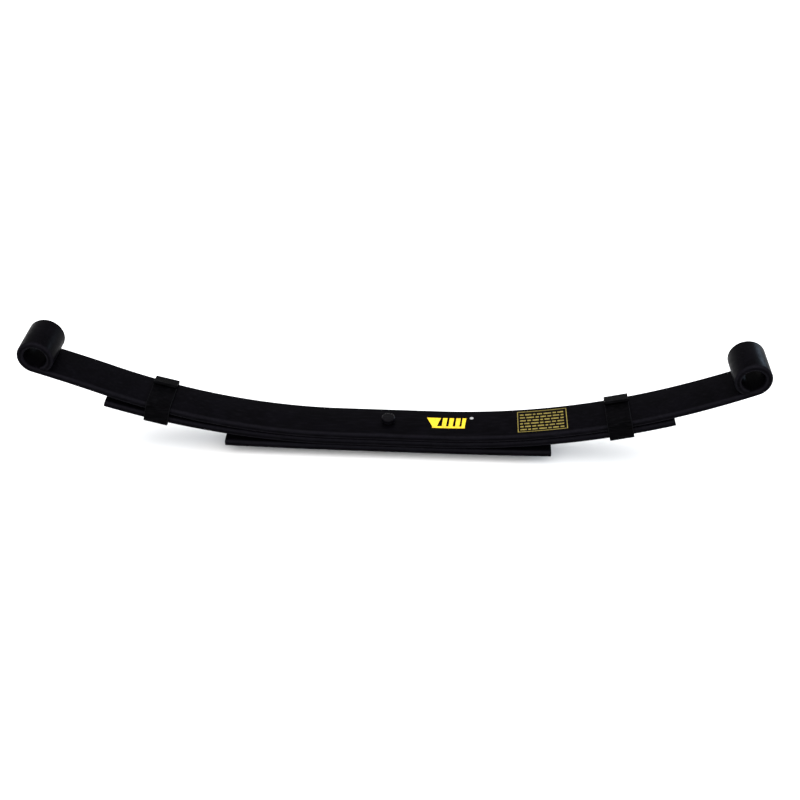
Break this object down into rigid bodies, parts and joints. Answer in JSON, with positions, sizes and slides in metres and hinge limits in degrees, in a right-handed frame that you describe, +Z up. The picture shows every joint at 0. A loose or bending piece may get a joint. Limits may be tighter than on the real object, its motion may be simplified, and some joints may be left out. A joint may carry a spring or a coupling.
{
  "type": "leaf spring",
  "caption": "Cambered leaf spring with an open rolled eye at each end, stacked leaves clamped by a centre bolt and rebound clips round the long leaves.",
  "frame": {"origin": "on the axis of the centre bolt, at the bolt's flat lower end, which is the lowest point of the free spring", "axes": "+Z up, out of the locating head of the centre bolt; +X along the spring towards the longer arm; Y across the leaves"},
  "size_m": [0.971, 0.0686, 0.1714],
  "materials": {
    "leaf_enamel": "satin black enamel over spring steel",
    "strap_enamel": "satin black enamel over bent steel strap",
    "fastener_enamel": "satin black enamel over forged steel",
    "marking_paint": "flat yellow stencil paint"
  },
  "bodies": {
    "leaf_pack": {"main_leaf": "leaf_enamel", "second_leaf": "leaf_enamel", "overload_leaf": "leaf_enamel", "centre_bolt": "fastener_enamel", "centre_nut": "fastener_enamel"},
    "left_arm_clip": {"left_rebound_clip": "strap_enamel", "left_clip_rivet": "fastener_enamel"},
    "right_arm_clip": {"right_rebound_clip": "strap_enamel", "right_clip_rivet": "fastener_enamel"}
  },
  "joints": [
    {"name": "left_arm_flex", "type": "hinge", "parent": "leaf_pack", "child": "left_arm_clip", "pos_m": [-0.124, 0, 0.0389], "axis": [0, -1, 0], "range_deg": [-2, 8], "stiffness_Nm_per_rad": 7850, "deforming": ["main_leaf", "second_leaf"]},
    {"name": "right_arm_flex", "type": "hinge", "parent": "leaf_pack", "child": "right_arm_clip", "pos_m": [0.125, 0, 0.0389], "axis": [0, 1, 0], "range_deg": [-2, 8], "stiffness_Nm_per_rad": 7850, "deforming": ["main_leaf", "second_leaf"]}
  ]
}
